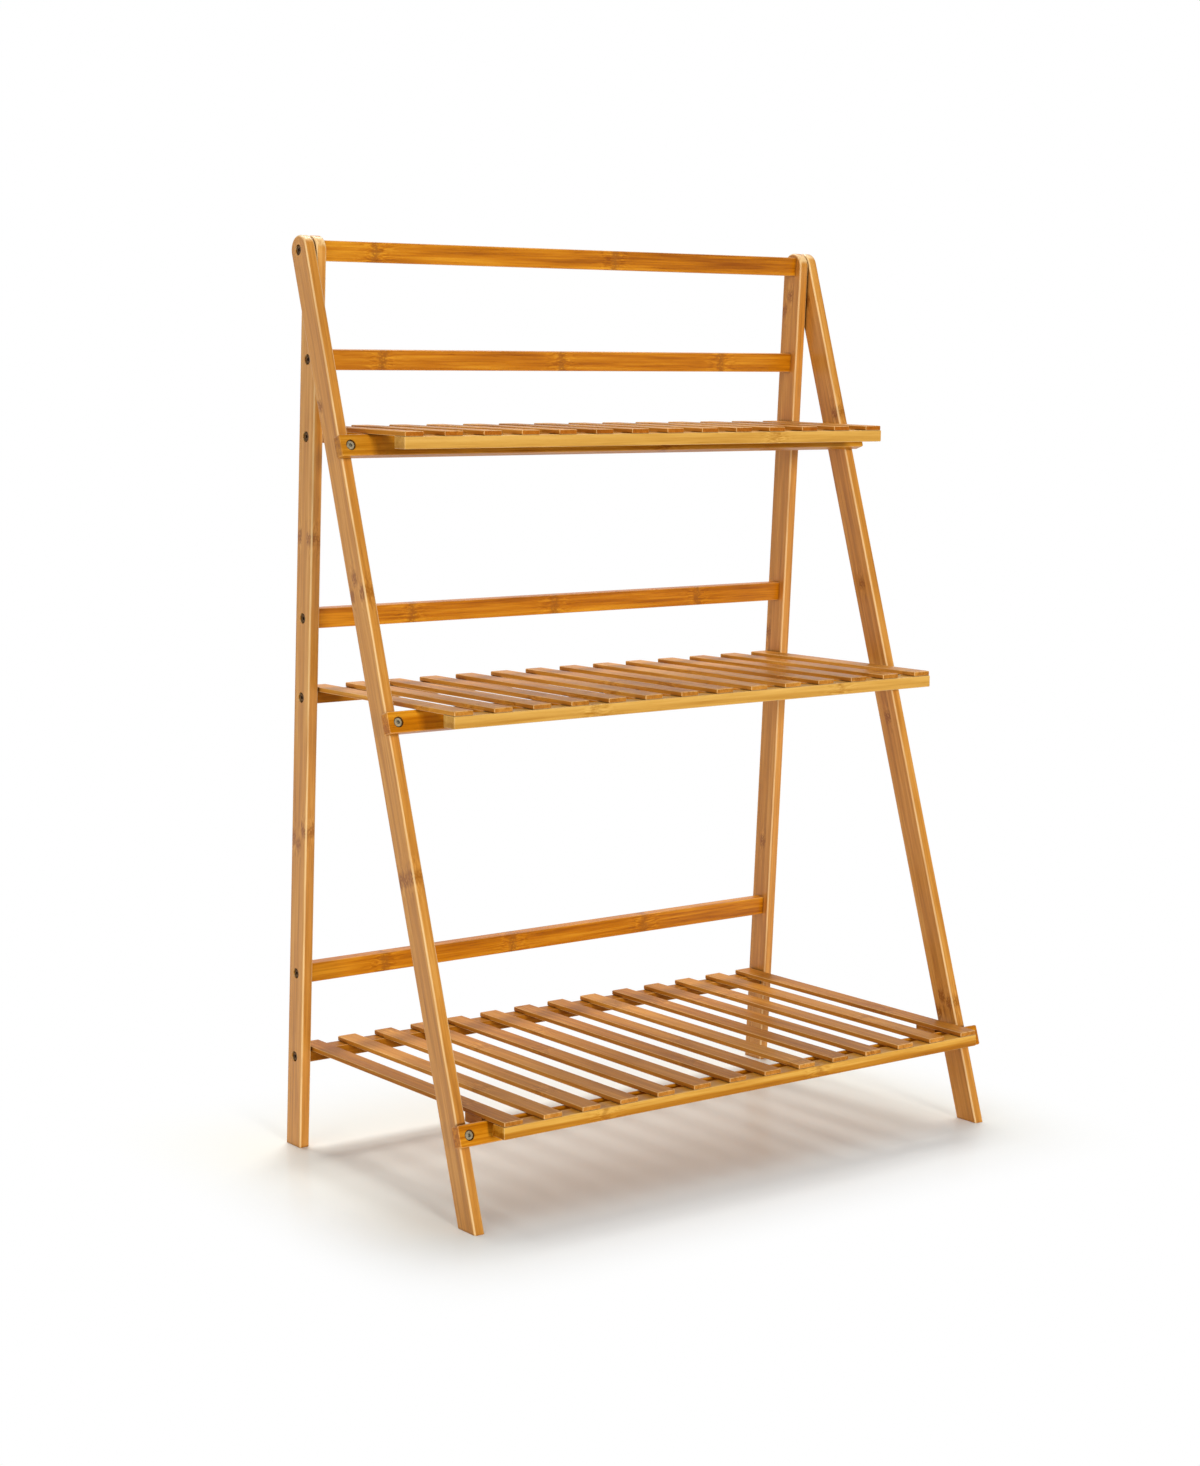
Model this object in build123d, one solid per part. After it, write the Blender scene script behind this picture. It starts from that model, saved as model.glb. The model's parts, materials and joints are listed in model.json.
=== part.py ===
from build123d import *
import math
import os

# Folding ladder shelf of lacquered bamboo. Millimetres, +Z up, the front faces -Y.
# The origin lies on the floor, in the middle of the object's width and depth.

# Frame
pivot_height = 950.0
frame_width = 654.0
strut_thickness = 12.0
strut_depth = 30.0
strut_edge_radius = 2.5
rear_lean = 3.7
leg_gap = 1.0

# Rails
rail_thickness = 12.0
front_rail_height = 22.0
back_rail_height = 21.0
front_rail_overhang = 6.0
rail_corner_radius = 2.0
rail_edge_radius = 1.2
upper_rail_drop = 110.0
middle_rail_drop = 377.5
lower_rail_drop = 760.0

# Shelves
upper_shelf_drop = 188.8
middle_shelf_drop = 461.2
lower_shelf_drop = 852.2
upper_shelf_reach = 170.0
middle_shelf_reach = 273.0
lower_shelf_reach = 381.0
upper_shelf_tilt = 1.2
lower_bar_gap = 12.7
shelf_side_gap = 1.2
bar_depth = 20.0
bar_height = 12.5
bar_edge_radius = 1.0
slat_count = 14
slat_width = 22.0
slat_thickness = 5.0
slat_edge_radius = 1.0
slat_end_inset = 0.7
slat_front_inset = 0.5
slat_rear_overhang = 1.0
shelf_seat_gap = 0.3

# Stop blocks under the lower shelf
block_width = 13.0
block_length = 30.0
block_height = 12.0
block_lead_in = 7.0
block_edge_radius = 1.0
block_rail_gap = 2.0

# Hex socket bolts, threaded inserts and washers
bolt_head_radius = 4.6
bolt_head_height = 2.6
bolt_head_rounding = 0.9
socket_across_flats = 3.5
socket_depth = 1.6
counterbore_radius = 5.5
counterbore_depth = 3.6
rail_bolt_radius = 2.5
pivot_bolt_radius = 3.0
insert_wall = 1.2
insert_length = 13.0
insert_inset = 0.5
bolt_tip_room = 3.0
washer_outer_radius = 7.0

# Countersunk screws through the bars into the slats
screw_radius = 1.4
screw_head_radius = 2.6
screw_head_height = 1.7
screw_slot_width = 0.7
screw_slot_depth = 0.9
screw_bite = 3.0
screw_wall = 0.5

# Clearances
running_clearance = 0.05
thread_clearance = 0.05
seat_clearance = 0.05
washer_clearance = 0.1
washer_bore_clearance = 0.2
head_clearance = 0.1

# Derived sizes
inner_half_width = frame_width / 2 - strut_thickness
shelf_length = 2 * (inner_half_width - shelf_side_gap)
leg_centre = frame_width / 2 + leg_gap + strut_thickness / 2
leg_outer_half_width = leg_centre + strut_thickness / 2
front_rail_length = 2 * (leg_outer_half_width + front_rail_overhang)
slat_pitch = (shelf_length - 2 * slat_end_inset - slat_width) / (slat_count - 1)
slat_xs = [(i - (slat_count - 1) / 2) * slat_pitch for i in range(slat_count)]
rear_angle = math.radians(rear_lean)

# The slats rest on the rounded top edges of the front rails
rail_front = strut_depth / 2 + rail_thickness
edge_front = rail_front - rail_edge_radius
edge_below_bolt = shelf_seat_gap + rail_edge_radius - bar_height / 2

# The front legs lean so that the lower rail's top edge lies a set gap behind the lower front bar
bar_back = lower_shelf_reach - bar_depth - lower_shelf_drop * math.sin(rear_angle)
lower_edge_reach = bar_back - lower_bar_gap - rail_edge_radius
lower_edge_depth = lower_shelf_drop * math.cos(rear_angle) + edge_below_bolt
edge_distance = math.hypot(lower_edge_reach, lower_edge_depth)
front_angle = math.atan2(lower_edge_reach, lower_edge_depth) - math.asin(edge_front / edge_distance)
front_lean = math.degrees(front_angle)

# The depth runs from the lower shelf's front to the heels of the uprights
front_reach = lower_shelf_reach - lower_shelf_drop * math.sin(rear_angle)
rear_reach = pivot_height * math.tan(rear_angle) + strut_depth / 2 / math.cos(rear_angle)
pivot_y = (front_reach - rear_reach) / 2

rear_place = Location((0, pivot_y, pivot_height), (rear_lean, 0, 0))
front_place = Location((0, pivot_y, pivot_height), (-front_lean, 0, 0))
below_floor = Pos(0, 0, -pivot_height / 2) * Box(2 * frame_width, 2 * pivot_height, pivot_height)

os.makedirs("parts", exist_ok=True)


def save(name, shape):
    export_step(shape, "parts/" + name + ".step")


def group(solids):
    return Compound(children=list(solids))


def across(x, drop, radius, length):
    """Round tool along X, in the frame of a strut."""
    return Pos(x, 0, -drop) * Rot(0, 90, 0) * Cylinder(radius, length)


def strut(length):
    """Flat strut that hangs from the origin, with a rounded head."""
    outline = Pos(0, -length / 2) * Rectangle(strut_depth, length) + Circle(strut_depth / 2)
    body = extrude(Plane.YZ * outline, strut_thickness / 2, both=True)
    rims = []
    for edge in body.edges():
        on_face = abs(abs(edge.center().X) - strut_thickness / 2) < 0.01
        if on_face and edge.center().Z > 0.01 - length:
            rims.append(edge)
    return fillet(rims, strut_edge_radius)


def rail(length, thickness, height):
    """Rail along X with rounded end corners and softened edges."""
    body = Box(length, thickness, height)
    corners = body.edges().filter_by(Axis.Y)
    body = fillet(corners, rail_corner_radius)
    rims = body.faces().sort_by(Axis.Y)[0].edges() + body.faces().sort_by(Axis.Y)[-1].edges()
    return fillet(rims, rail_edge_radius)


def butted_rail(length, thickness, height):
    """Rail along X with square ends that butt against the uprights."""
    body = Box(length, thickness, height)
    return fillet(body.edges().filter_by(Axis.X), rail_edge_radius)


def bolt(radius, length):
    """Hex socket bolt along Z, the head above its bearing face at the origin."""
    shank = Pos(0, 0, -length / 2) * Cylinder(radius, length)
    head = Pos(0, 0, bolt_head_height / 2) * Cylinder(bolt_head_radius, bolt_head_height)
    head = fillet(head.edges().sort_by(Axis.Z)[-1], bolt_head_rounding)
    socket_radius = socket_across_flats / math.sqrt(3)
    socket = extrude(RegularPolygon(socket_radius, 6), socket_depth)
    return shank + head - Pos(0, 0, bolt_head_height - socket_depth) * socket


def insert(radius):
    """Threaded insert along Z, its mouth at the origin."""
    outer = radius + thread_clearance + insert_wall
    body = Cylinder(outer, insert_length) - Cylinder(radius + thread_clearance, insert_length)
    return Pos(0, 0, -insert_length / 2) * body


def insert_seat(radius, bolt_reach):
    """Tool for the hole of an insert and for the tip of its bolt, mouth at the origin."""
    outer = radius + thread_clearance + insert_wall + seat_clearance
    depth = insert_inset + insert_length
    tip_depth = bolt_reach + bolt_tip_room
    seat = Pos(0, 0, -depth / 2) * Cylinder(outer, depth)
    return seat + Pos(0, 0, -tip_depth / 2) * Cylinder(radius + running_clearance, tip_depth)


def washer(radius, gap):
    """Washer along Z, centred in a gap between two faces."""
    body = Cylinder(washer_outer_radius, gap - 2 * washer_clearance)
    return body - Cylinder(radius + washer_bore_clearance, gap)


def screw(length):
    """Countersunk screw along Z, its flat head at the origin and its tip above."""
    shank = Pos(0, 0, length / 2) * Cylinder(screw_radius, length)
    head = Pos(0, 0, screw_head_height / 2) * Cone(screw_head_radius, screw_radius, screw_head_height)
    slot_length = 2 * screw_radius
    slot = Box(slot_length, screw_slot_width, 2 * screw_slot_depth)
    slot += Box(screw_slot_width, slot_length, 2 * screw_slot_depth)
    return shank + head - slot


def screw_hole(length):
    """Tool for a screw's hole, with room for its countersunk head."""
    shank_radius = screw_radius + seat_clearance
    head_radius = screw_head_radius + seat_clearance
    shank = Pos(0, 0, length / 2) * Cylinder(shank_radius, length)
    return shank + Pos(0, 0, screw_head_height / 2) * Cone(head_radius, shank_radius, screw_head_height)


def outward(side):
    """Turn that points +Z out of the left side or the right side."""
    return Rot(0, 90 * side, 0)


# Bolt lengths
grip = strut_thickness - counterbore_depth
insert_reach = insert_inset + insert_length
back_bolt_length = grip + insert_reach
pivot_bolt_length = grip + leg_gap + strut_thickness + insert_reach
shelf_bolt_length = grip + head_clearance + shelf_side_gap + insert_reach
front_bolt_length = rail_thickness - counterbore_depth + insert_reach

back_rails = {"upper": upper_rail_drop, "middle": middle_rail_drop, "lower": lower_rail_drop}
# Only the upper shelf slopes, a little down to its front
shelves = {
    "upper": (upper_shelf_drop, upper_shelf_reach, upper_shelf_tilt),
    "middle": (middle_shelf_drop, middle_shelf_reach, 0.0),
    "lower": (lower_shelf_drop, lower_shelf_reach, 0.0),
}
sides = {"left": -1, "right": 1}


# Rear frame: uprights
rear_length = pivot_height / math.cos(rear_angle) + strut_depth
for name, side in sides.items():
    centre = side * (frame_width / 2 - strut_thickness / 2)
    outer_face = side * frame_width / 2
    upright = Pos(centre, 0, 0) * strut(rear_length)
    upright -= across(centre, 0, pivot_bolt_radius + running_clearance, 2 * strut_thickness)
    for drop in back_rails.values():
        upright -= across(centre, drop, rail_bolt_radius + running_clearance, 2 * strut_thickness)
        upright -= across(outer_face, drop, counterbore_radius, 2 * counterbore_depth)
    for drop, reach, tilt in shelves.values():
        upright -= across(centre, drop, pivot_bolt_radius + running_clearance, 2 * strut_thickness)
        upright -= across(outer_face, drop, counterbore_radius, 2 * counterbore_depth)
    save("rear_upright_" + name, rear_place * upright - below_floor)

# Rear frame: rails
top_rail = butted_rail(2 * inner_half_width, rail_thickness, back_rail_height)
for side in sides.values():
    seat = insert_seat(pivot_bolt_radius, insert_reach)
    top_rail -= Pos(side * inner_half_width, 0, 0) * outward(side) * seat
save("top_rail", rear_place * top_rail)

back_rail = butted_rail(2 * inner_half_width, rail_thickness, back_rail_height)
for side in sides.values():
    seat = insert_seat(rail_bolt_radius, insert_reach)
    back_rail -= Pos(side * inner_half_width, 0, 0) * outward(side) * seat
for name, drop in back_rails.items():
    save("back_rail_" + name, rear_place * Pos(0, 0, -drop) * back_rail)

# Rear frame: fasteners
back_bolts = []
back_inserts = []
top_bolts = []
top_inserts = []
for side in sides.values():
    bearing = side * (frame_width / 2 - counterbore_depth)
    mouth = side * (inner_half_width - insert_inset)
    for drop in back_rails.values():
        back_bolt = bolt(rail_bolt_radius, back_bolt_length)
        back_bolts.append(rear_place * Pos(bearing, 0, -drop) * outward(side) * back_bolt)
        back_inserts.append(rear_place * Pos(mouth, 0, -drop) * outward(side) * insert(rail_bolt_radius))
    pivot_bearing = side * (leg_outer_half_width - counterbore_depth + head_clearance)
    top_bolt = bolt(pivot_bolt_radius, pivot_bolt_length + head_clearance)
    top_bolts.append(rear_place * Pos(pivot_bearing, 0, 0) * outward(side) * top_bolt)
    top_inserts.append(rear_place * Pos(mouth, 0, 0) * outward(side) * insert(pivot_bolt_radius))
save("back_rail_bolts", group(back_bolts))
save("back_rail_inserts", group(back_inserts))
save("top_pivot_bolts", group(top_bolts))
save("top_rail_inserts", group(top_inserts))

# Front frame: each rail lies on the legs' front faces and its top edge carries a shelf
rail_y = -(strut_depth + rail_thickness) / 2
front_rail_drops = {}
for name, (drop, reach, tilt) in shelves.items():
    slope = math.radians(tilt)
    edge_depth = drop * math.cos(rear_angle - slope) + edge_below_bolt
    edge_angle = front_angle + slope
    edge_drop = (edge_depth + edge_front * math.sin(edge_angle)) / math.cos(edge_angle)
    front_rail_drops[name] = edge_drop - rail_edge_radius + front_rail_height / 2

# Front frame: legs
front_length = pivot_height / math.cos(front_angle) + strut_depth
for name, side in sides.items():
    leg = Pos(side * leg_centre, 0, 0) * strut(front_length)
    leg -= across(side * leg_centre, 0, pivot_bolt_radius + running_clearance, 2 * strut_thickness)
    leg -= across(side * leg_outer_half_width, 0, counterbore_radius, 2 * counterbore_depth)
    for drop in front_rail_drops.values():
        seat = insert_seat(rail_bolt_radius, insert_reach)
        leg -= Pos(side * leg_centre, -strut_depth / 2, -drop) * Rot(90, 0, 0) * seat
    save("front_leg_" + name, front_place * leg - below_floor)

# Front frame: rails
front_rail = rail(front_rail_length, rail_thickness, front_rail_height)
for side in sides.values():
    hole = Cylinder(rail_bolt_radius + running_clearance, 2 * rail_thickness)
    front_rail -= Pos(side * leg_centre, 0, 0) * Rot(90, 0, 0) * hole
    counterbore = Cylinder(counterbore_radius, 2 * counterbore_depth)
    front_rail -= Pos(side * leg_centre, -rail_thickness / 2, 0) * Rot(90, 0, 0) * counterbore
for name, drop in front_rail_drops.items():
    save("front_rail_" + name, front_place * Pos(0, rail_y, -drop) * front_rail)

# Front frame: fasteners
front_bolts = []
leg_inserts = []
top_washers = []
for side in sides.values():
    for drop in front_rail_drops.values():
        bearing = counterbore_depth - rail_front
        front_bolt = Rot(90, 0, 0) * bolt(rail_bolt_radius, front_bolt_length)
        front_bolts.append(front_place * Pos(side * leg_centre, bearing, -drop) * front_bolt)
        mouth = insert_inset - strut_depth / 2
        leg_insert = Rot(90, 0, 0) * insert(rail_bolt_radius)
        leg_inserts.append(front_place * Pos(side * leg_centre, mouth, -drop) * leg_insert)
    washer_x = side * (frame_width + leg_gap) / 2
    top_washer = washer(pivot_bolt_radius, leg_gap)
    top_washers.append(front_place * Pos(washer_x, 0, 0) * outward(side) * top_washer)
save("front_rail_bolts", group(front_bolts))
save("front_leg_inserts", group(leg_inserts))
save("top_pivot_washers", group(top_washers))

# Shelves: the rear screws stand just behind the inserts in the bar's ends
screw_length = bar_height + screw_bite
insert_hole_radius = pivot_bolt_radius + thread_clearance + insert_wall + seat_clearance
rear_screw_y = insert_hole_radius + screw_wall + screw_radius + seat_clearance
for name, (drop, reach, tilt) in shelves.items():
    shelf_y = pivot_y + drop * math.sin(rear_angle)
    shelf_z = pivot_height - drop * math.cos(rear_angle)
    pivot = Location((0, shelf_y, shelf_z), (tilt, 0, 0))
    front_bar_y = bar_depth / 2 - reach
    bar = Box(shelf_length, bar_depth, bar_height)
    bar = fillet(bar.edges(), bar_edge_radius)
    holes = [Pos(x, 0, -bar_height / 2) * screw_hole(screw_length) for x in slat_xs]
    front_bar = bar - holes
    rear_bar = bar - [Pos(0, rear_screw_y, 0) * hole for hole in holes]
    for side in sides.values():
        seat = insert_seat(pivot_bolt_radius, insert_reach)
        rear_bar -= Pos(side * shelf_length / 2, 0, 0) * outward(side) * seat
    save(name + "_shelf_front_bar", pivot * Pos(0, front_bar_y, 0) * front_bar)
    save(name + "_shelf_rear_bar", pivot * rear_bar)

    slat_front = slat_front_inset - reach
    slat_rear = bar_depth / 2 + slat_rear_overhang
    slat = Box(slat_width, slat_rear - slat_front, slat_thickness)
    slat = fillet(slat.edges(), slat_edge_radius)
    slat = Pos(0, (slat_front + slat_rear) / 2, (bar_height + slat_thickness) / 2) * slat
    for y in (front_bar_y, rear_screw_y):
        slat -= Pos(0, y, -bar_height / 2) * screw_hole(screw_length)
    save(name + "_shelf_slats", group(pivot * Pos(x, 0, 0) * slat for x in slat_xs))

    screws = []
    for y in (front_bar_y, rear_screw_y):
        for x in slat_xs:
            screws.append(pivot * Pos(x, y, -bar_height / 2) * screw(screw_length))
    save(name + "_shelf_screws", group(screws))

    pivot_bolts = []
    pivot_inserts = []
    washers = []
    for side in sides.values():
        bearing = side * (frame_width / 2 - counterbore_depth + head_clearance)
        pivot_bolt = bolt(pivot_bolt_radius, shelf_bolt_length)
        pivot_bolts.append(pivot * Pos(bearing, 0, 0) * outward(side) * pivot_bolt)
        mouth = side * (shelf_length / 2 - insert_inset)
        pivot_inserts.append(pivot * Pos(mouth, 0, 0) * outward(side) * insert(pivot_bolt_radius))
        washer_x = side * (inner_half_width - shelf_side_gap / 2)
        shelf_washer = washer(pivot_bolt_radius, shelf_side_gap)
        washers.append(pivot * Pos(washer_x, 0, 0) * outward(side) * shelf_washer)
    save(name + "_shelf_pivot_bolts", group(pivot_bolts))
    save(name + "_shelf_inserts", group(pivot_inserts))
    save(name + "_shelf_washers", group(washers))

# Stop blocks behind the lower front rail, with a sloped lead-in at the front
rail_top_drop = front_rail_drops["lower"] - front_rail_height / 2
rail_back_y = pivot_y - rail_top_drop * math.sin(front_angle) - strut_depth / 2 * math.cos(front_angle)
block_top = pivot_height - lower_shelf_drop * math.cos(rear_angle) + bar_height / 2
block = Box(block_width, block_length, block_height)
lead_edge = block.edges().filter_by(Axis.X).sort_by(Axis.Z)[:2].sort_by(Axis.Y)[0]
block = chamfer(lead_edge, block_lead_in)
block = fillet(block.faces().sort_by(Axis.Z)[0].edges(), block_edge_radius)
block_y = rail_back_y + block_rail_gap + block_length / 2
blocks = [Pos(x, block_y, block_top - block_height / 2) * block for x in (slat_xs[0], slat_xs[-1])]
save("lower_shelf_stop_blocks", group(blocks))
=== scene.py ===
import json
import math

import bpy
from mathutils import Matrix, Vector


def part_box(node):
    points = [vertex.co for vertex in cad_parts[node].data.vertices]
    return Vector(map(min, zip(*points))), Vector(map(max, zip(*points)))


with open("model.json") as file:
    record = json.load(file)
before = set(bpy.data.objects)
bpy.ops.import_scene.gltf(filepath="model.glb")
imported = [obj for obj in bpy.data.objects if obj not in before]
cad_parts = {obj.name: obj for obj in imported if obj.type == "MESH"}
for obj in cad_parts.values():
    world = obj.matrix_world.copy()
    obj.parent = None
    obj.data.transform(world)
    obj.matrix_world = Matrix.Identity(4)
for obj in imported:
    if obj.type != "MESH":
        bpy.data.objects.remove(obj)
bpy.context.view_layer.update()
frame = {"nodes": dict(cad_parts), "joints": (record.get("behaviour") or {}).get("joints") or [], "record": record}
nodes = frame["nodes"]
scene = bpy.context.scene

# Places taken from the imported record
hinges = {joint["name"]: Vector(joint["pos_m"]) for joint in frame["joints"]}
mounts = {mount["name"]: Vector(mount["pos_m"]) for mount in frame["record"]["mounts"]}
top_pivot = hinges["front_frame_fold"]


def lean_to(point):
    """Lean of the line from the top pivot down to a point, positive to the back."""
    return math.atan2(point.y - top_pivot.y, top_pivot.z - point.z)


rear_lean = lean_to(mounts["rear_foot_left"])
front_lean = lean_to(mounts["front_foot_left"])

SLAT_COUNT = 14
SLAT_WIDTH = 0.022
slats_low, slats_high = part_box("lower_shelf_slats")
slat_pitch = (slats_high[0] - slats_low[0] - SLAT_WIDTH) / (SLAT_COUNT - 1)


# Node helpers
NOISE_ROUGHNESS = 0.55
HOLLOW_SAMPLES = 8
# How open a place is, from fully shaded to not at all
OPENNESS = (0.15, 0.90)


class Net:
    """Builds a node tree with short calls."""

    def __init__(self, tree):
        self.tree = tree
        self.tree.nodes.clear()

    def add(self, kind, **settings):
        node = self.tree.nodes.new(kind)
        for key, value in settings.items():
            setattr(node, key, value)
        return node

    def put(self, socket, value):
        """Links a socket to an output, or sets it to a constant."""
        if isinstance(value, bpy.types.NodeSocket):
            self.tree.links.new(value, socket)
        else:
            socket.default_value = value

    def math(self, operation, a, b=None, c=None, clamp=False):
        node = self.add("ShaderNodeMath", operation=operation, use_clamp=clamp)
        for socket, value in zip(node.inputs, (a, b, c)):
            if value is not None:
                self.put(socket, value)
        return node.outputs[0]

    def vector(self, operation, a, b, output="Vector"):
        node = self.add("ShaderNodeVectorMath", operation=operation)
        self.put(node.inputs[0], a)
        self.put(node.inputs[1], b)
        return node.outputs[output]

    def split(self, vector):
        node = self.add("ShaderNodeSeparateXYZ")
        self.put(node.inputs[0], vector)
        return node.outputs

    def turned(self, vector, turn, kind):
        """A point or a normal, turned about the origin."""
        node = self.add("ShaderNodeMapping", vector_type=kind)
        self.put(node.inputs["Vector"], vector)
        node.inputs["Rotation"].default_value = turn
        return node.outputs["Vector"]

    def noise(self, vector, scales, detail=2.0, distortion=0.0):
        """Noise between 0 and 1, with its own number of waves per metre along each axis."""
        node = self.add("ShaderNodeTexNoise")
        self.put(node.inputs["Vector"], self.vector("MULTIPLY", vector, scales))
        node.inputs["Scale"].default_value = 1.0
        node.inputs["Detail"].default_value = detail
        node.inputs["Roughness"].default_value = NOISE_ROUGHNESS
        node.inputs["Distortion"].default_value = distortion
        return node.outputs["Fac"]

    def about_zero(self, value, reach):
        """Turns a value between 0 and 1 into one between -reach / 2 and reach / 2."""
        return self.math("MULTIPLY_ADD", value, reach, -reach / 2)

    def chances(self, number):
        """Three random values between 0 and 1 for a whole number."""
        node = self.add("ShaderNodeTexWhiteNoise", noise_dimensions="1D")
        self.put(node.inputs["W"], number)
        parts = self.add("ShaderNodeSeparateColor")
        self.put(parts.inputs[0], node.outputs["Color"])
        return parts.outputs

    def ramp(self, value, stops):
        node = self.add("ShaderNodeValToRGB")
        elements = node.color_ramp.elements
        while len(elements) < len(stops):
            elements.new(0.5)
        for element, (position, colour) in zip(elements, stops):
            element.position = position
            element.color = (*colour, 1.0)
        self.put(node.inputs["Fac"], value)
        return node.outputs["Color"]

    def span(self, value, low, high, out_low=0.0, out_high=1.0):
        """Smooth step from one value to another."""
        node = self.add("ShaderNodeMapRange", interpolation_type="SMOOTHSTEP")
        self.put(node.inputs["Value"], value)
        self.put(node.inputs["From Min"], low)
        self.put(node.inputs["From Max"], high)
        self.put(node.inputs["To Min"], out_low)
        self.put(node.inputs["To Max"], out_high)
        return node.outputs["Result"]

    def mix(self, factor, a, b, blend="MIX"):
        node = self.add("ShaderNodeMix", data_type="RGBA", blend_type=blend)
        self.put(node.inputs["Factor"], factor)
        colours = [socket for socket in node.inputs if socket.type == "RGBA"]
        for socket, value in zip(colours, (a, b)):
            self.put(socket, value if isinstance(value, bpy.types.NodeSocket) else (*value, 1.0))
        return [socket for socket in node.outputs if socket.type == "RGBA"][0]

    def hollow_shade(self, depth, strength):
        """Painted shade that gathers in holes and corners of a depth in metres."""
        node = self.add("ShaderNodeAmbientOcclusion", samples=HOLLOW_SAMPLES)
        node.inputs["Distance"].default_value = depth
        return self.span(node.outputs["AO"], *OPENNESS, strength, 0.0)

    def tinted(self, factor, colour, tint):
        """The colour multiplied by a tint, where the factor is 1."""
        return self.mix(factor, colour, self.mix(1.0, colour, tint, "MULTIPLY"))

    def bump(self, height, strength, distance):
        """A normal bent by a height between about 0 and 1, which stands for a distance in metres."""
        node = self.add("ShaderNodeBump")
        node.inputs["Strength"].default_value = strength
        node.inputs["Distance"].default_value = distance
        self.put(node.inputs["Height"], height)
        return node.outputs[0]

    def cells(self, vector, scale):
        """Distance to the middle of the nearest one of scattered cells."""
        node = self.add("ShaderNodeTexVoronoi")
        self.put(node.inputs["Vector"], vector)
        node.inputs["Scale"].default_value = scale
        return node.outputs["Distance"]


def new_material(name):
    material = bpy.data.materials.new(name)
    material.use_nodes = True
    return material, Net(material.node_tree)


def surface(net, shader_output):
    output = net.add("ShaderNodeOutputMaterial")
    net.put(output.inputs["Surface"], shader_output)


# Bamboo: dark, middle and light colours of each kind of piece, and the shades at which they lie
TONE_STOPS = (0.08, 0.5, 0.92)
TONES = {
    "strut": ((0.38, 0.135, 0.016), (0.60, 0.250, 0.038), (0.78, 0.400, 0.095)),
    "rail": ((0.28, 0.070, 0.000), (0.52, 0.168, 0.002), (0.73, 0.310, 0.016)),
    "front_rail": ((0.24, 0.062, 0.000), (0.50, 0.190, 0.008), (0.72, 0.350, 0.040)),
    "bar": ((0.40, 0.160, 0.010), (0.62, 0.325, 0.060), (0.78, 0.470, 0.125)),
    "lower_bar": ((0.34, 0.110, 0.002), (0.52, 0.210, 0.014), (0.72, 0.390, 0.070)),
    # The rear bars' tone is darker as painted shade, for the shadow of the slats on them
    "rear_bar": ((0.20, 0.055, 0.001), (0.36, 0.125, 0.006), (0.52, 0.220, 0.030)),
    "slat": ((0.33, 0.105, 0.008), (0.55, 0.218, 0.027), (0.75, 0.350, 0.064)),
    # middle_slat is the slat tone painted lighter, as a painted sheen on the middle shelf
    "middle_slat": ((0.36, 0.116, 0.009), (0.60, 0.240, 0.028), (0.81, 0.385, 0.066)),
}
# How strongly the grain shows
GRAIN = {
    "strut": 0.60,
    "rail": 0.75,
    "front_rail": 0.60,
    "bar": 0.40,
    "lower_bar": 0.50,
    "rear_bar": 0.60,
    "slat": 0.50,
    "middle_slat": 0.55,
}
# How dark the knots are
KNOT_STRENGTH = {
    "strut": 1.00,
    "rail": 0.80,
    "front_rail": 0.60,
    "bar": 0.30,
    "lower_bar": 0.45,
    "rear_bar": 0.60,
    "slat": 0.35,
    "middle_slat": 0.35,
}
# How strongly a painted highlight pales the rounded edges
EDGE_HIGHLIGHT = {
    "strut": 0.65,
    "rail": 0.20,
    "front_rail": 0.05,
    "bar": 0.25,
    "lower_bar": 0.25,
    "rear_bar": 0.20,
    "slat": 0.50,
    "middle_slat": 0.50,
}
# Specular level and weight of the lacquer coat
GLOSS = {
    "strut": (0.30, 0.15),
    "rail": (0.20, 0.06),
    "front_rail": (0.20, 0.06),
    "bar": (0.10, 0.04),
    "lower_bar": (0.10, 0.04),
    "rear_bar": (0.05, 0.02),
    "slat": (0.04, 0.02),
    "middle_slat": (0.06, 0.03),
}
COAT_ROUGHNESS = 0.12
# Roughness of the wood under the lacquer, and what fibres and dashes add to it
WOOD_ROUGHNESS = 0.24
FIBRE_ROUGHNESS = 0.24
DASH_ROUGHNESS = 0.10
KNOT_STAIN = (0.33, 0.105, 0.006)
# Colour of the painted highlight on rounded edges
EDGE_HIGHLIGHT_COLOUR = (0.93, 0.68, 0.34)
# Faint red patches on the slats: colour, strength, and the clouds' level where they begin and are full
RED_STAIN = (0.24, 0.060, 0.012)
RED_STRENGTH = 0.40
RED_CLOUDS = (0.54, 0.74)
# Colour, depth in metres and strength of the painted shade in holes and corners
WOOD_RECESS_SHADE = (0.09, 0.030, 0.006)
WOOD_RECESS_DEPTH = 0.005
WOOD_RECESS_STRENGTH = 0.75
METAL_RECESS_SHADE = (0.03, 0.025, 0.018)
METAL_RECESS_DEPTH = 0.004
METAL_RECESS_STRENGTH = 0.85
# Strength and height in metres of the bumps, and what streaks, dashes and knots add to the fibres' height
WOOD_BUMP = (0.25, 0.0004)
METAL_BUMP = (0.25, 0.0001)
STREAK_HEIGHT = 0.5
DASH_HEIGHT = -0.5
KNOT_HEIGHT = 0.8
# How the cut ends tint the colour, between the fibres and on them
ENDS = ((0.86, 0.80, 0.76), (0.98, 0.96, 0.96))
# The upper shelf's slat ends, and less so the middle shelf's, are darkened as painted shade
SLAT_ENDS = {
    "upper": ((0.52, 0.36, 0.18), (0.72, 0.52, 0.28)),
    "middle": ((0.68, 0.62, 0.56), (0.80, 0.76, 0.73)),
    "lower": ((0.78, 0.74, 0.76), (0.94, 0.92, 0.98)),
}
END_SPECKLES = 950.0
# How the sawn sides of the upper and lower shelf's slats tint the colour
SIDE_TINT = {"slat": (0.93, 0.86, 0.68)}
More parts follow.
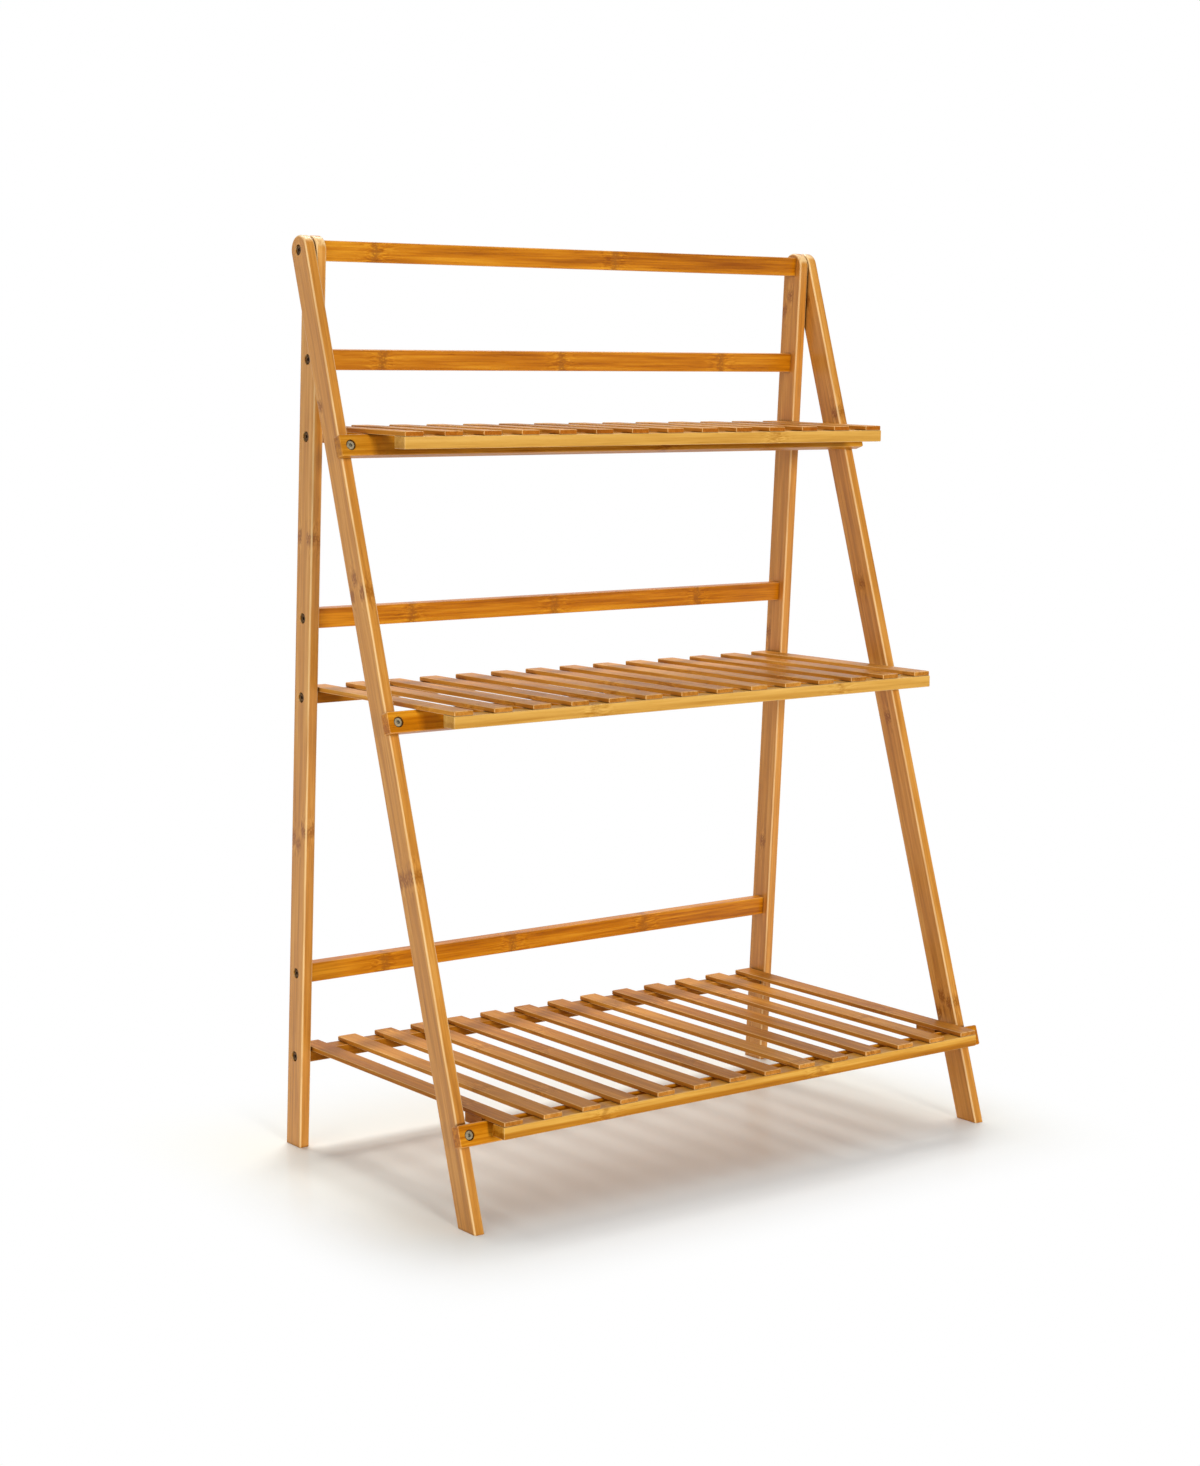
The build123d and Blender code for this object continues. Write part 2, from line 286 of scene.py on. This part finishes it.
# A normal's largest part, where a rounded edge gets the full painted highlight and where a flat face begins
EDGE_FLATNESS = (0.86, 0.985)
# A normal's part along an axis, where a face begins to count as turned that way and where it fully does
FACE_TURN = (0.70, 0.92)

# Waves per metre along the grain and across it
STRIPS = (1.3, 62.0, 62.0)
STREAKS = (9.0, 230.0, 230.0)
FIBRES = (14.0, 760.0, 760.0)
DASHES = (55.0, 1300.0, 1300.0)
CLOUDS = (7.0, 24.0, 24.0)
FLAMES = (70.0, 420.0, 420.0)
BEADS = (330.0, 430.0, 430.0)
WAVER = (50.0, 150.0, 150.0)

# Weights of the grain's layers
STRIP_WEIGHT = 1.0
STREAK_WEIGHT = 1.5
FIBRE_WEIGHT = 0.8
CLOUD_WEIGHT = 0.5
DASH_WEIGHT = -0.25
FLECK_WEIGHT = 1.7

# Width of a strut's glued strips, and how much strips and slats differ in tone
STRUT_LANE = 0.010
STRIP_VARIETY = 0.16
SLAT_VARIETY = 0.30
# Keeps the numbers of strips and slats apart from piece to piece
LANE_STEP = 17
# How far apart in the stalk two pieces lie, and two strips or slats of one piece may lie, in metres
SEED_SHIFT = (3.17, 1.31, 2.23)
LANE_SHIFT = (9.0, 3.0)
# A front bar's painted light and shade: how softly its halves and the end of its front edge blend,
# and the painted shade on the wood behind that edge
HALVES_BLEND = 0.0015
PALE_EDGE_BLEND = 0.0003
BEHIND_SHADE = -0.15

# Knots, in metres: how far apart on a slat, how wavy, and how far the flecks beside them reach
KNOT_SPACING = 0.155
KNOT_WAVER = 0.016
KNOT_FLECKS = (0.004, 0.034)
# Where a knot's stain starts to fade and where it ends: bands across a piece, and round spots on struts
BAND_REACH = (0.0015, 0.0075)
SPOT_REACH = (0.0030, 0.0105)
# A strut's knots lie scattered along the grain, and mark this share of its strips. The step keeps the
# chances of one knot apart from the next one's
SPOT_SCATTER = 0.024
SPOT_SHARE = 0.62
SPOT_STEP = 31.0


def slat_lane(net, point, seed):
    """Number of the slat at a point."""
    place = net.math("DIVIDE", net.split(point)["X"], slat_pitch)
    return net.math("FLOOR", net.math("ADD", place, SLAT_COUNT / 2 + seed * LANE_STEP))


def nearest(net, distances):
    """The least of several distances."""
    least = distances[0]
    for distance in distances[1:]:
        least = net.math("MINIMUM", least, distance)
    return least


def band_distance(net, along, knots):
    """Distance along the grain to the nearest knot that crosses the whole piece."""
    offsets = [net.math("SUBTRACT", along, spot) for spot in knots]
    return nearest(net, [net.math("ABSOLUTE", offset) for offset in offsets])


def spot_distance(net, along, lane, lane_side, knots):
    """Distance to the nearest knot, each of which marks only some of the glued strips.

    A knot that is missing from a strip is put a metre away.
    """
    distances = []
    for number, spot in enumerate(knots, 1):
        chances = net.chances(net.math("ADD", lane, number * SPOT_STEP))
        centre = net.math("ADD", net.about_zero(chances[0], SPOT_SCATTER), spot)
        away = net.math("SUBTRACT", along, centre)
        round_away = net.math("SQRT", net.math("MULTIPLY_ADD", away, away, net.math("POWER", lane_side, 2.0)))
        missing = net.math("GREATER_THAN", chances[1], SPOT_SHARE)
        distances.append(net.math("ADD", round_away, missing))
    return nearest(net, distances)


def bamboo(name, tone, turn, seed, knots=(), lane_centre=None, slats=False, bar_shading=None, end_tints=ENDS):
    """Lacquered bamboo. turn brings the grain to X, and knots are places along the grain in metres.

    lane_centre is where the middle one of a strut's glued strips lies. bar_shading is for a front bar
    with painted light and shade: where its front edge ends and painted shade behind it begins, the
    height of its middle, and how much lighter its upper half and darker its lower half are painted.
    """
    material, net = new_material(name)
    coords = net.add("ShaderNodeTexCoord")
    point = net.turned(coords.outputs["Object"], turn, "POINT")
    normal = net.turned(coords.outputs["Normal"], turn, "NORMAL")
    along, across, upward = net.split(point)
    moved = net.vector("ADD", point, [seed * step for step in SEED_SHIFT])

    # Glued strips, or separate slats, each with a tone and a place in the stalk of its own
    lane = None
    if slats:
        lane = slat_lane(net, coords.outputs["Object"], seed)
    if lane_centre is not None:
        lane_place = net.math("SUBTRACT", across, lane_centre)
        lane_place = net.math("MULTIPLY_ADD", lane_place, 1 / STRUT_LANE, 0.5 + seed * LANE_STEP)
        lane = net.math("FLOOR", lane_place)
        lane_side = net.about_zero(net.math("SUBTRACT", lane_place, lane), STRUT_LANE)
    tone_lift = 0.0
    if lane is not None:
        chances = net.chances(lane)
        shift = net.add("ShaderNodeCombineXYZ")
        net.put(shift.inputs["X"], net.math("MULTIPLY", chances[0], LANE_SHIFT[0]))
        net.put(shift.inputs["Y"], net.math("MULTIPLY", chances[1], LANE_SHIFT[1]))
        moved = net.vector("ADD", moved, shift.outputs[0])
        tone_lift = net.about_zero(chances[2], SLAT_VARIETY if slats else STRIP_VARIETY)

    strips = net.noise(moved, STRIPS, 1.0)
    streaks = net.noise(moved, STREAKS, 2.0)
    fibres = net.noise(moved, FIBRES, 2.0)
    clouds = net.noise(moved, CLOUDS, 2.0)
    flames = net.noise(moved, FLAMES, 3.0, 1.2)
    dash = net.span(net.noise(moved, DASHES, 1.0), 0.60, 0.76)
    shade = net.math("ADD", net.about_zero(strips, STRIP_WEIGHT), net.about_zero(streaks, STREAK_WEIGHT))
    shade = net.math("ADD", shade, net.about_zero(fibres, FIBRE_WEIGHT))
    shade = net.math("ADD", shade, net.about_zero(clouds, CLOUD_WEIGHT))
    shade = net.math("MULTIPLY_ADD", dash, DASH_WEIGHT, shade)
    shade = net.math("MULTIPLY_ADD", shade, GRAIN[tone], tone_lift)
    if bar_shading is not None:
        # Painted light on the upper half, painted shade on the lower half and behind the front edge
        pale_edge_end, middle, contrast = bar_shading
        halves = net.span(upward, middle - HALVES_BLEND, middle + HALVES_BLEND, -contrast, contrast)
        behind = net.span(across, pale_edge_end - PALE_EDGE_BLEND, pale_edge_end + PALE_EDGE_BLEND, 0.0, BEHIND_SHADE)
        shade = net.math("ADD", shade, net.math("ADD", halves, behind))

    # Distance to the nearest knot
    bent = net.math("ADD", along, net.about_zero(net.noise(moved, WAVER, 3.0), KNOT_WAVER))
    if slats:
        phase = net.math("MULTIPLY_ADD", chances[1], 2 * KNOT_SPACING, bent)
        near = net.math("PINGPONG", phase, KNOT_SPACING)
    elif lane is not None:
        near = spot_distance(net, bent, lane, lane_side, knots)
    else:
        near = band_distance(net, bent, knots)
    figure = net.span(near, *KNOT_FLECKS, 1.0, 0.0)
    flecks = net.math("MULTIPLY", figure, net.about_zero(flames, FLECK_WEIGHT))
    shade = net.math("ADD", net.math("ADD", shade, flecks), 0.5, clamp=True)
    colour = net.ramp(shade, list(zip(TONE_STOPS, TONES[tone])))

    # Knots: a stained band of beads, less stained in their middles
    beads = net.cells(net.vector("MULTIPLY", moved, BEADS), 1.0)
    rims = net.span(beads, 0.25, 0.60, 0.35, 1.0)
    reach = SPOT_REACH if tone == "strut" else BAND_REACH
    stain = net.span(near, *reach, KNOT_STRENGTH[tone], 0.0)
    stain = net.math("MULTIPLY", stain, rims)
    colour = net.mix(stain, colour, KNOT_STAIN)
    if slats:
        colour = net.mix(net.span(clouds, *RED_CLOUDS, 0.0, RED_STRENGTH), colour, RED_STAIN)

    # Rounded edges get a painted highlight, and cut ends show the ends of the fibres
    sides = [net.math("ABSOLUTE", side) for side in net.split(normal)]
    flatness = net.math("MAXIMUM", sides[0], net.math("MAXIMUM", sides[1], sides[2]))
    edge = net.span(flatness, *EDGE_FLATNESS, EDGE_HIGHLIGHT[tone], 0.0)
    edge = net.math("MULTIPLY", edge, net.span(streaks, 0.30, 0.55, 0.45, 1.0))
    colour = net.mix(edge, colour, EDGE_HIGHLIGHT_COLOUR)
    if tone in SIDE_TINT:
        colour = net.tinted(net.span(sides[1], *FACE_TURN), colour, SIDE_TINT[tone])
    dots = net.cells(coords.outputs["Object"], END_SPECKLES)
    between_fibres, on_fibres = end_tints
    speckle = net.ramp(dots, ((0.10, between_fibres), (0.60, on_fibres)))
    colour = net.tinted(net.span(sides[0], *FACE_TURN), colour, speckle)
    # Painted shade in holes, in corners and between parts
    colour = net.mix(net.hollow_shade(WOOD_RECESS_DEPTH, WOOD_RECESS_STRENGTH), colour, WOOD_RECESS_SHADE)

    shader = net.add("ShaderNodeBsdfPrincipled")
    net.put(shader.inputs["Base Color"], colour)
    rough = net.math("MULTIPLY_ADD", fibres, FIBRE_ROUGHNESS, WOOD_ROUGHNESS)
    net.put(shader.inputs["Roughness"], net.math("MULTIPLY_ADD", dash, DASH_ROUGHNESS, rough))
    level, coat = GLOSS[tone]
    shader.inputs["Specular IOR Level"].default_value = level
    shader.inputs["Coat Weight"].default_value = coat
    shader.inputs["Coat Roughness"].default_value = COAT_ROUGHNESS
    height = net.math("MULTIPLY_ADD", streaks, STREAK_HEIGHT, fibres)
    height = net.math("MULTIPLY_ADD", dash, DASH_HEIGHT, height)
    height = net.math("MULTIPLY_ADD", stain, KNOT_HEIGHT, height)
    net.put(shader.inputs["Normal"], net.bump(height, *WOOD_BUMP))
    surface(net, shader.outputs[0])
    return material


# Metal: waves per metre of spots and scratches, and how much the spots change the roughness
DULL_SPOTS = (420.0, 420.0, 420.0)
SCRATCHES = (300.0, 2600.0, 900.0)
SPOT_ROUGHNESS = 0.3


def metal(name, dark, light, rough, metallic=1.0, specular=0.5):
    """Plated metal with dull spots, fine scratches and painted shade in its hollows. A metallic level below 1
    makes it duller.
    """
    material, net = new_material(name)
    coords = net.add("ShaderNodeTexCoord")
    spots = net.noise(coords.outputs["Object"], DULL_SPOTS, 4.0)
    scratches = net.noise(coords.outputs["Object"], SCRATCHES, 2.0)
    colour = net.ramp(spots, ((0.30, dark), (0.62, light)))
    # Painted shade in the socket and around the head in its counterbore
    colour = net.mix(net.hollow_shade(METAL_RECESS_DEPTH, METAL_RECESS_STRENGTH), colour, METAL_RECESS_SHADE)
    shader = net.add("ShaderNodeBsdfPrincipled")
    net.put(shader.inputs["Base Color"], colour)
    shader.inputs["Metallic"].default_value = metallic
    shader.inputs["Specular IOR Level"].default_value = specular
    roughness = net.math("ADD", net.about_zero(spots, SPOT_ROUGHNESS), rough)
    net.put(shader.inputs["Roughness"], roughness)
    net.put(shader.inputs["Normal"], net.bump(scratches, *METAL_BUMP))
    surface(net, shader.outputs[0])
    return material


def wear(node, material):
    """Puts one material on a whole CAD piece."""
    mesh = nodes[node].data
    mesh.materials.clear()
    mesh.materials.append(material)
    for polygon in mesh.polygons:
        polygon.material_index = 0


# Struts: knots as drops from the top pivot, in metres
STRUTS = {
    "rear_upright_left": (rear_lean, 1, (0.290, 0.610)),
    "rear_upright_right": (rear_lean, 2, (0.039, 0.159, 0.430, 0.690)),
    "front_leg_left": (front_lean, 3, (0.155, 0.351, 0.640)),
    "front_leg_right": (front_lean, 4, (0.029, 0.172, 0.373, 0.546, 0.709, 0.861)),
}
for name, (lean, seed, drops) in STRUTS.items():
    upright_turn = Matrix.Rotation(-lean, 3, "X")
    pivot_across, pivot_along = (upright_turn @ top_pivot).yz
    turn = (-lean, math.radians(90.0), 0.0)
    knots = [pivot_along - drop for drop in drops]
    wear(name, bamboo(name, "strut", turn, seed, knots, pivot_across))

# Rails and bars: knots as places across the width, in metres
RAILS = {
    "top_rail": ("rail", rear_lean, 18, (-0.252, 0.055)),
    "back_rail_upper": ("rail", rear_lean, 6, (-0.240, -0.011, 0.211)),
    "back_rail_middle": ("rail", rear_lean, 7, (-0.197, -0.009, 0.192)),
    "back_rail_lower": ("rail", rear_lean, 8, (-0.220, -0.051, 0.135)),
    "front_rail_upper": ("front_rail", front_lean, 9, (0.060,)),
    "front_rail_middle": ("rail", front_lean, 10, (-0.120, 0.150)),
    "front_rail_lower": ("rail", front_lean, 11, (-0.050, 0.210)),
    "upper_shelf_front_bar": ("bar", 0.0, 12, (0.160,)),
    "upper_shelf_rear_bar": ("rear_bar", 0.0, 13, (0.050,)),
    "middle_shelf_front_bar": ("bar", 0.0, 14, (-0.144, 0.184)),
    "middle_shelf_rear_bar": ("rear_bar", 0.0, 15, (-0.110,)),
    "lower_shelf_front_bar": ("lower_bar", 0.0, 16, (-0.192, 0.086)),
    "lower_shelf_rear_bar": ("rear_bar", 0.0, 17, (0.140,)),
}
# The front bars get painted light and shade: painted shade on the wood behind their front edge, an
# upper half painted lighter and a lower half painted darker
PALE_EDGE_DEPTH = 0.0025
HALVES_SHADE_CONTRAST = {
    "upper_shelf_front_bar": 0.04,
    "middle_shelf_front_bar": 0.10,
    "lower_shelf_front_bar": 0.20,
}
for name, (tone, lean, seed, knots) in RAILS.items():
    bar_shading = None
    if name in HALVES_SHADE_CONTRAST:
        bar_low, bar_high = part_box(name)
        bar_shading = (bar_low[1] + PALE_EDGE_DEPTH, (bar_low[2] + bar_high[2]) / 2, HALVES_SHADE_CONTRAST[name])
    wear(name, bamboo(name, tone, (-lean, 0.0, 0.0), seed, knots, bar_shading=bar_shading))

# Slats and stop blocks run from front to back
ACROSS_TURN = (0.0, 0.0, math.radians(-90.0))
SLATS = {"upper": ("slat", 20), "middle": ("middle_slat", 21), "lower": ("slat", 22)}
for level, (tone, seed) in SLATS.items():
    material = bamboo(level + "_slats", tone, ACROSS_TURN, seed, slats=True, end_tints=SLAT_ENDS[level])
    wear(level + "_shelf_slats", material)
wear("lower_shelf_stop_blocks", bamboo("stop_blocks", "slat", ACROSS_TURN, 24, slats=True))

# The photo shows pale bolts in the front rails and dark ones in the uprights
rail_bolt_steel = metal("rail_bolt_steel", (0.24, 0.21, 0.13), (0.52, 0.46, 0.31), rough=0.32, metallic=0.35)
# bolt_steel is darkened as painted shade, for the uprights' bolts deep in their counterbores
shaded_bolt_tones = ((0.04, 0.018, 0.006), (0.17, 0.085, 0.028))
bolt_steel = metal("bolt_steel", *shaded_bolt_tones, rough=0.45, metallic=0.30, specular=0.10)
washer_steel = metal("washer_steel", (0.40, 0.40, 0.39), (0.60, 0.60, 0.58), rough=0.36)
insert_brass = metal("insert_brass", (0.50, 0.34, 0.13), (0.72, 0.53, 0.24), rough=0.32)
FITTINGS = {"bolts": bolt_steel, "screws": bolt_steel, "washers": washer_steel, "inserts": insert_brass}
for name in nodes:
    kind = name.split("_")[-1]
    if kind in FITTINGS:
        wear(name, FITTINGS[kind])
wear("front_rail_bolts", rail_bolt_steel)


# Floor: lit near the object, where it holds the shadow, and plain white further away
FLOOR_COLOUR = (0.93, 0.94, 0.88)
FLOOR_REACH = 14.0
FLOOR_DROP = 0.0002
FLOOR_GLOSS = 0.07
FLOOR_ROUGHNESS = 0.16
# The shadow's middle, and how far from it the floor starts and ends turning white: to the sides, and
# to the front and back
SHADOW_MIDDLE = (-0.02, 0.02, 0.0)
SIDE_FADE = (0.33, 0.50)
FRONT_FADE = (0.14, 0.40)


def white_rays(net):
    """Camera rays, and mirrored or refracted rays: 1 for a ray of that kind, and 0 for the rest."""
    path = net.add("ShaderNodeLightPath")
    mirrored = net.math("MAXIMUM", path.outputs["Is Glossy Ray"], path.outputs["Is Transmission Ray"])
    return path.outputs["Is Camera Ray"], mirrored


def floor_material():
    """Pale and slightly glossy near the shadow, and plain white further away for the rays that see it."""
    material, net = new_material("floor")
    diffuse = net.add("ShaderNodeBsdfDiffuse")
    diffuse.inputs["Color"].default_value = (*FLOOR_COLOUR, 1.0)
    glossy = net.add("ShaderNodeBsdfGlossy")
    glossy.inputs["Roughness"].default_value = FLOOR_ROUGHNESS
    lit = net.add("ShaderNodeMixShader")
    lit.inputs[0].default_value = FLOOR_GLOSS
    net.put(lit.inputs[1], diffuse.outputs[0])
    net.put(lit.inputs[2], glossy.outputs[0])
    white = net.add("ShaderNodeEmission")
    geometry = net.add("ShaderNodeNewGeometry")
    place = net.split(net.vector("SUBTRACT", geometry.outputs["Position"], SHADOW_MIDDLE))
    near_side = net.span(net.math("ABSOLUTE", place["X"]), *SIDE_FADE, 1.0, 0.0)
    near_front = net.span(net.math("ABSOLUTE", place["Y"]), *FRONT_FADE, 1.0, 0.0)
    far = net.math("SUBTRACT", 1.0, net.math("MULTIPLY", near_side, near_front))
    camera_ray, mirrored_ray = white_rays(net)
    seen = net.math("MAXIMUM", camera_ray, mirrored_ray)
    total = net.add("ShaderNodeMixShader")
    net.put(total.inputs[0], net.math("MULTIPLY", far, seen))
    net.put(total.inputs[1], lit.outputs[0])
    net.put(total.inputs[2], white.outputs[0])
    surface(net, total.outputs[0])
    return material


floor_mesh = bpy.data.meshes.new("floor")
corners = [(x, y, 0.0) for x, y in ((-1, -1), (1, -1), (1, 1), (-1, 1))]
floor_mesh.from_pydata(corners, [], [(0, 1, 2, 3)])
floor_mesh.materials.append(floor_material())
floor = bpy.data.objects.new("floor", floor_mesh)
floor.scale = (FLOOR_REACH, FLOOR_REACH, 1.0)
floor.location.z = -FLOOR_DROP
scene.collection.objects.link(floor)

# Studio: white all round, but for the dim room in front of the object
DIM_SIDE = (0.59, -0.81, 0.0)
DIM_FROM = 0.7
# Strength of the room's light on the object, and of its dim side in mirror images
ROOM_LIGHT = 0.27
ROOM_MIRRORED = 0.06

world = bpy.data.worlds.new("studio")
world.use_nodes = True
scene.world = world
net = Net(world.node_tree)
direction = net.add("ShaderNodeTexCoord").outputs["Generated"]
facing_room = net.vector("DOT_PRODUCT", direction, DIM_SIDE, "Value")
backdrop = net.span(facing_room, 0.0, DIM_FROM, 1.0, ROOM_MIRRORED)
camera_ray, mirrored_ray = white_rays(net)
strength = net.math("MULTIPLY_ADD", net.math("SUBTRACT", backdrop, ROOM_LIGHT), mirrored_ray, ROOM_LIGHT)
strength = net.math("MAXIMUM", strength, camera_ray)
sky = net.add("ShaderNodeBackground")
net.put(sky.inputs["Strength"], strength)
sky.inputs["Color"].default_value = (1.0, 1.0, 1.0, 1.0)
net.put(net.add("ShaderNodeOutputWorld").inputs["Surface"], sky.outputs[0])


SOFTBOX_DISTANCE = 12.0


def lamp(name, towards, strength, spread):
    """Far soft lamp that shines from a direction, with its apparent width in degrees.

    Lacquer mirrors the white studio but not the lamp itself, which would glare on the slats from behind.
    """
    data = bpy.data.lights.new(name, "SUN")
    data.energy = strength
    data.angle = math.radians(spread)
    light = bpy.data.objects.new(name, data)
    light.rotation_euler = Vector(towards).to_track_quat("Z", "Y").to_euler()
    light.visible_glossy = False
    scene.collection.objects.link(light)


def softbox(name, towards, strength, width, depth):
    """Far oblong lamp overhead, with its apparent width and depth in degrees."""
    data = bpy.data.lights.new(name, "AREA")
    data.shape = "RECTANGLE"
    data.size = 2 * SOFTBOX_DISTANCE * math.tan(math.radians(width / 2))
    data.size_y = 2 * SOFTBOX_DISTANCE * math.tan(math.radians(depth / 2))
    data.energy = strength * math.pi * SOFTBOX_DISTANCE ** 2
    back = Vector(towards).normalized()
    across = (Vector((1.0, 0.0, 0.0)) - back.x * back).normalized()
    along = back.cross(across)
    light = bpy.data.objects.new(name, data)
    light_turn = Matrix((across, along, back)).transposed().to_4x4()
    light.matrix_world = Matrix.Translation(SOFTBOX_DISTANCE * back) @ light_turn
    scene.collection.objects.link(light)


softbox("overhead", towards=(0.17, 0.43, 1.0), strength=2.40, width=38.0, depth=20.0)
lamp("front", towards=(-0.12, -1.0, 0.18), strength=1.95, spread=12.0)
lamp("left", towards=(-0.90, -0.40, 0.25), strength=0.7, spread=45.0)

# Camera: found from the photograph
CAMERA_PLACE = (-1.70767, -2.25664, 0.81518)
CAMERA_YAW = -36.264
CAMERA_PITCH = -7.4846
CAMERA_ROLL = 0.0199
FOCAL_PIXELS = 2654.55
IMAGE_HEIGHT = 1466
SENSOR = 36.0
UP = Vector((0.0, 0.0, 1.0))

yaw, pitch, roll = (math.radians(angle) for angle in (CAMERA_YAW, CAMERA_PITCH, CAMERA_ROLL))
level_ahead = Vector((-math.sin(yaw), math.cos(yaw), 0.0))
level_right = Vector((math.cos(yaw), math.sin(yaw), 0.0))
ahead = math.cos(pitch) * level_ahead + math.sin(pitch) * UP
above = -math.sin(pitch) * level_ahead + math.cos(pitch) * UP
right = math.cos(roll) * level_right + math.sin(roll) * above
above = -math.sin(roll) * level_right + math.cos(roll) * above
camera_data = bpy.data.cameras.new("camera")
camera_data.sensor_width = SENSOR
camera_data.lens = SENSOR * FOCAL_PIXELS / IMAGE_HEIGHT
camera = bpy.data.objects.new("camera", camera_data)
camera_turn = Matrix((right, above, -ahead)).transposed().to_4x4()
camera.matrix_world = Matrix.Translation(CAMERA_PLACE) @ camera_turn
scene.collection.objects.link(camera)
scene.camera = camera

scene.view_settings.view_transform = "Standard"
